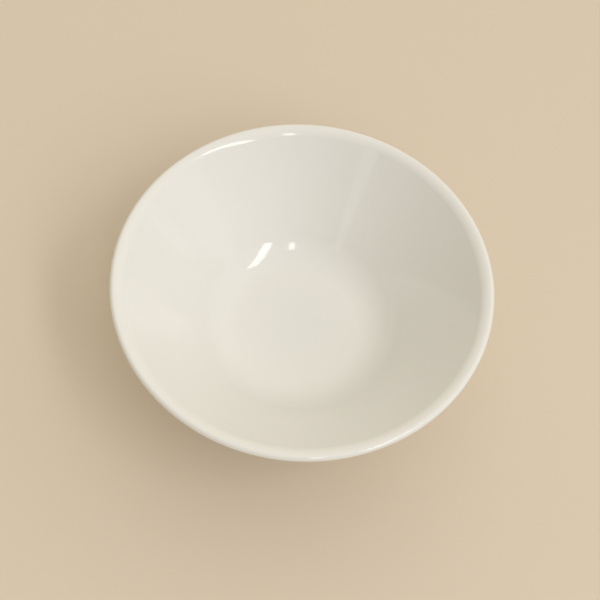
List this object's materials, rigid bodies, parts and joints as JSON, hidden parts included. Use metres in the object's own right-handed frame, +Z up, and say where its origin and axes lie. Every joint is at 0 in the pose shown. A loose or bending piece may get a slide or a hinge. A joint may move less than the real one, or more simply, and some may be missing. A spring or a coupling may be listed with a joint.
{
  "type": "sake cup",
  "caption": "Shallow flared porcelain cup for sake, white glazed inside and out, with a rounded lip, a flat floor and a low foot ring that it stands on.",
  "frame": {"origin": "centre of the foot ring's standing face, on the table", "axes": "+Z up along the cup's axis; the cup is round, so X and Y are free"},
  "size_m": [0.072, 0.072, 0.028],
  "materials": {
    "porcelain": "matt fired body",
    "biscuit": "matt, fine grained, unglazed",
    "glaze": "glossy, warm white"
  },
  "bodies": {
    "root": {"bowl": "porcelain", "foot_ring": "biscuit", "slip_seam": "porcelain", "inner_glaze": "glaze", "outer_glaze": "glaze", "well_glaze": "glaze"}
  },
  "joints": []
}
